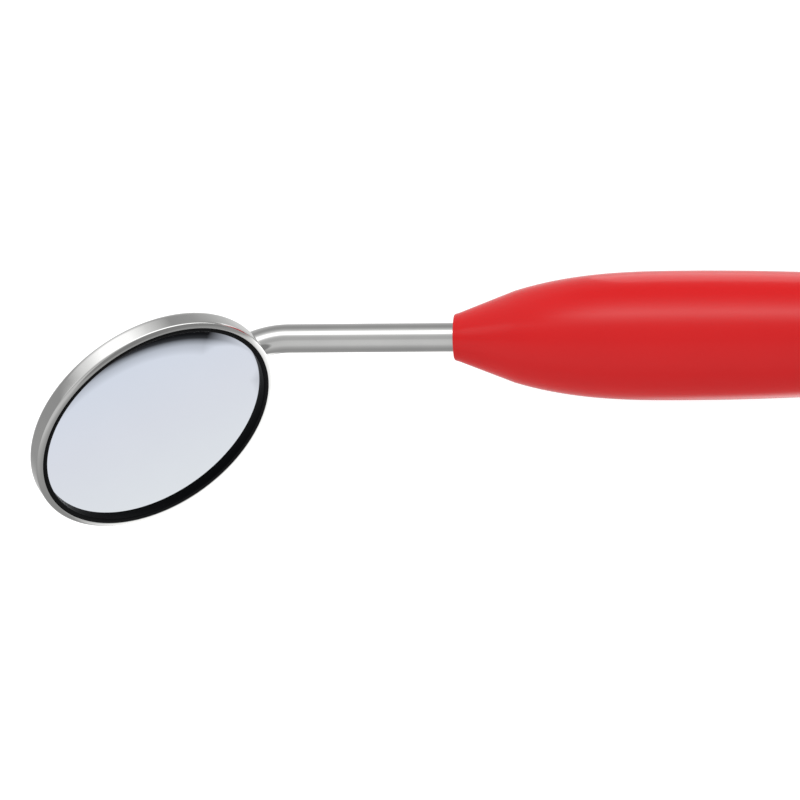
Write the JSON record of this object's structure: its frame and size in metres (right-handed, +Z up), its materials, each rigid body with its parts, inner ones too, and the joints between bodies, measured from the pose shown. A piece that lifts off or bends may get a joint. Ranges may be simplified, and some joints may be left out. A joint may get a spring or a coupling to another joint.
{
  "type": "dental mouth mirror",
  "caption": "Hand-held mouth mirror: round framed mirror on a bent rod that screws into the nose of a long moulded handle.",
  "frame": {"origin": "centre of the bounding box's footprint on the table that the mirror lies on (z = 0)", "axes": "+X along the handle's axis from the mirror head towards the handle's rear end, +Z up from the table; the head leans over towards -Y and rests on its rim"},
  "size_m": [0.1664, 0.0214, 0.0204],
  "materials": {
    "polished_steel": "mirror-polished stainless steel",
    "cement": "matt adhesive",
    "glass_disc": "ground edge, polished faces",
    "reflector": "front-surface mirror",
    "black_ring": "smooth black",
    "braze": "smooth brazed fillet",
    "seal_rubber": "satin black",
    "red_plastic": "glossy moulded red",
    "insert_brass": "turned",
    "tube_aluminium": "drawn tube"
  },
  "bodies": {
    "handle": {"handle_shell": "red_plastic", "thread_insert": "insert_brass", "core_tube": "tube_aluminium", "end_plug": "red_plastic", "end_seal": "seal_rubber"},
    "travelling_ring": {"stem_seal": "seal_rubber"},
    "mirror_head": {"head_cup": "polished_steel", "cement_bed": "cement", "mirror_glass": "glass_disc", "mirror_coating": "reflector", "glass_seal": "black_ring", "stem_weld": "braze", "mirror_stem": "polished_steel"}
  },
  "joints": [
    {"name": "stem_travel", "type": "slide", "parent": "handle", "child": "travelling_ring", "axis": [-1, 0, 0], "range_m": [0, 0.00545]},
    {"name": "stem_turn", "type": "hinge", "parent": "travelling_ring", "child": "mirror_head", "pos_m": [-0.04582, 0.00527, 0.00544], "axis": [-1, 0, 0], "range_deg": [0, 4320]}
  ],
  "couplings": [
    {"joint": "stem_travel", "follows": "stem_turn", "m_per_rad": 0.00007162}
  ]
}
